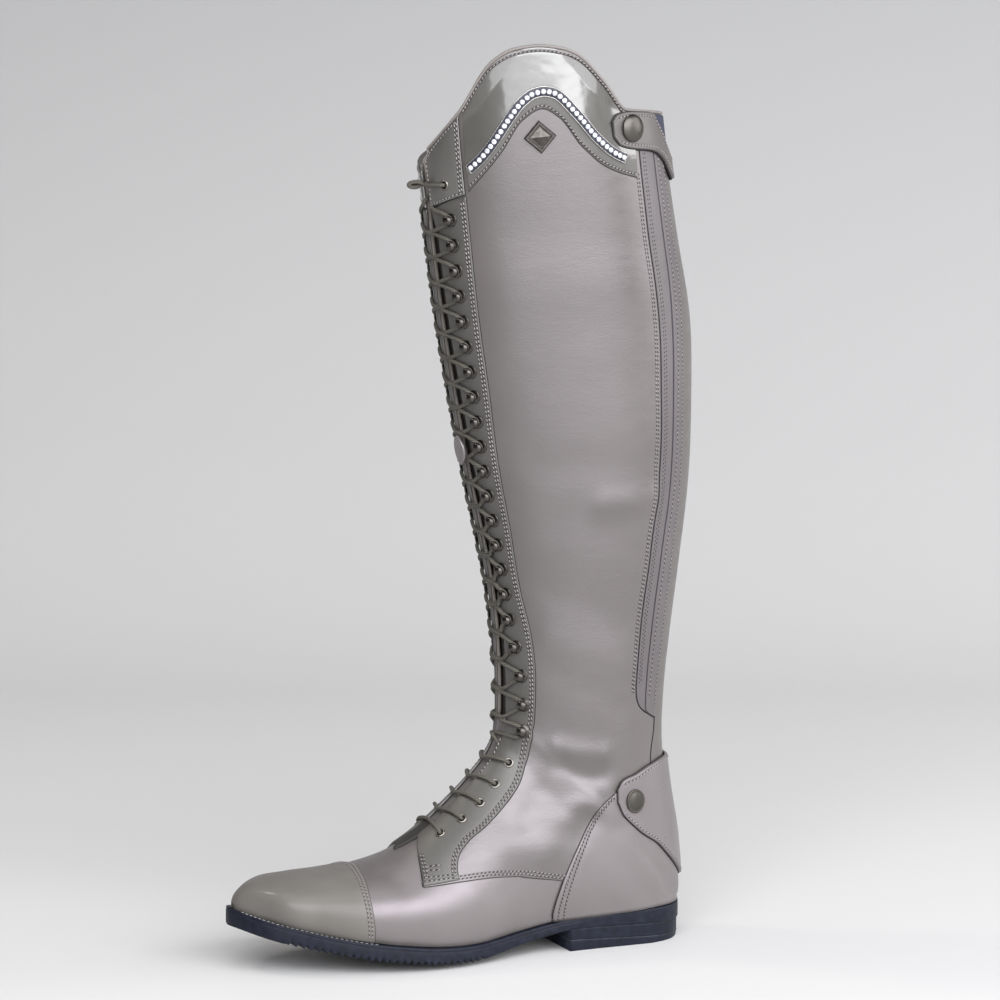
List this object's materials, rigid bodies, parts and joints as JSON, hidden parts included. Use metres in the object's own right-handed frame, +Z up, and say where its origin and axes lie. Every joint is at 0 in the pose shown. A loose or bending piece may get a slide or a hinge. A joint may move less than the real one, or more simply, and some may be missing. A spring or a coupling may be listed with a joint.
{
  "type": "lace-up riding boot",
  "caption": "Tall hollow leather riding boot with hook-and-eyelet front lacing over a tongue, patent toe cap, arched patent cuff, back zip, strapped counter and a low heel.",
  "frame": {"origin": "middle of the boot's bounding box, on the floor", "axes": "+X to the toe, +Y to the boot's outer side, +Z up"},
  "size_m": [0.2725, 0.1097, 0.5063],
  "materials": {
    "leather": "satin grey-taupe leather",
    "panel_leather": "matt darker grey leather",
    "patent": "glossy patent leather",
    "lining": "matt lining leather",
    "rubber": "matt navy-black rubber",
    "cord": "braided khaki-grey cord",
    "metal": "polished gunmetal",
    "zip": "dark coil zip",
    "stone": "clear cut stones in a dark band"
  },
  "bodies": {
    "root": {"outsole": "rubber", "heel": "rubber", "heel_top_piece": "rubber", "insole": "lining", "upper": "leather", "tongue": "lining", "toe_cap": "patent", "eyestay_outer": "panel_leather", "eyestay_inner": "panel_leather", "front_cuff_outer": "patent", "front_cuff_inner": "patent", "counter": "leather", "heel_strap": "leather", "heel_snap": "metal", "cuff": "patent", "crystal_band": "stone", "badge": "metal", "zip_band_front": "panel_leather", "zip_band_rear": "panel_leather", "zip": "zip", "top_strap": "patent", "top_snap": "metal", "lace": "cord", "lace_knot": "cord", "lace_keeper": "leather", "eyelet_outer_1": "metal", "eyelet_outer_2": "metal", "eyelet_outer_3": "metal", "eyelet_outer_4": "metal", "eyelet_outer_5": "metal", "eyelet_outer_6": "metal", "eyelet_inner_1": "metal", "eyelet_inner_2": "metal", "eyelet_inner_3": "metal", "eyelet_inner_4": "metal", "eyelet_inner_5": "metal", "eyelet_inner_6": "metal"}
  },
  "joints": []
}
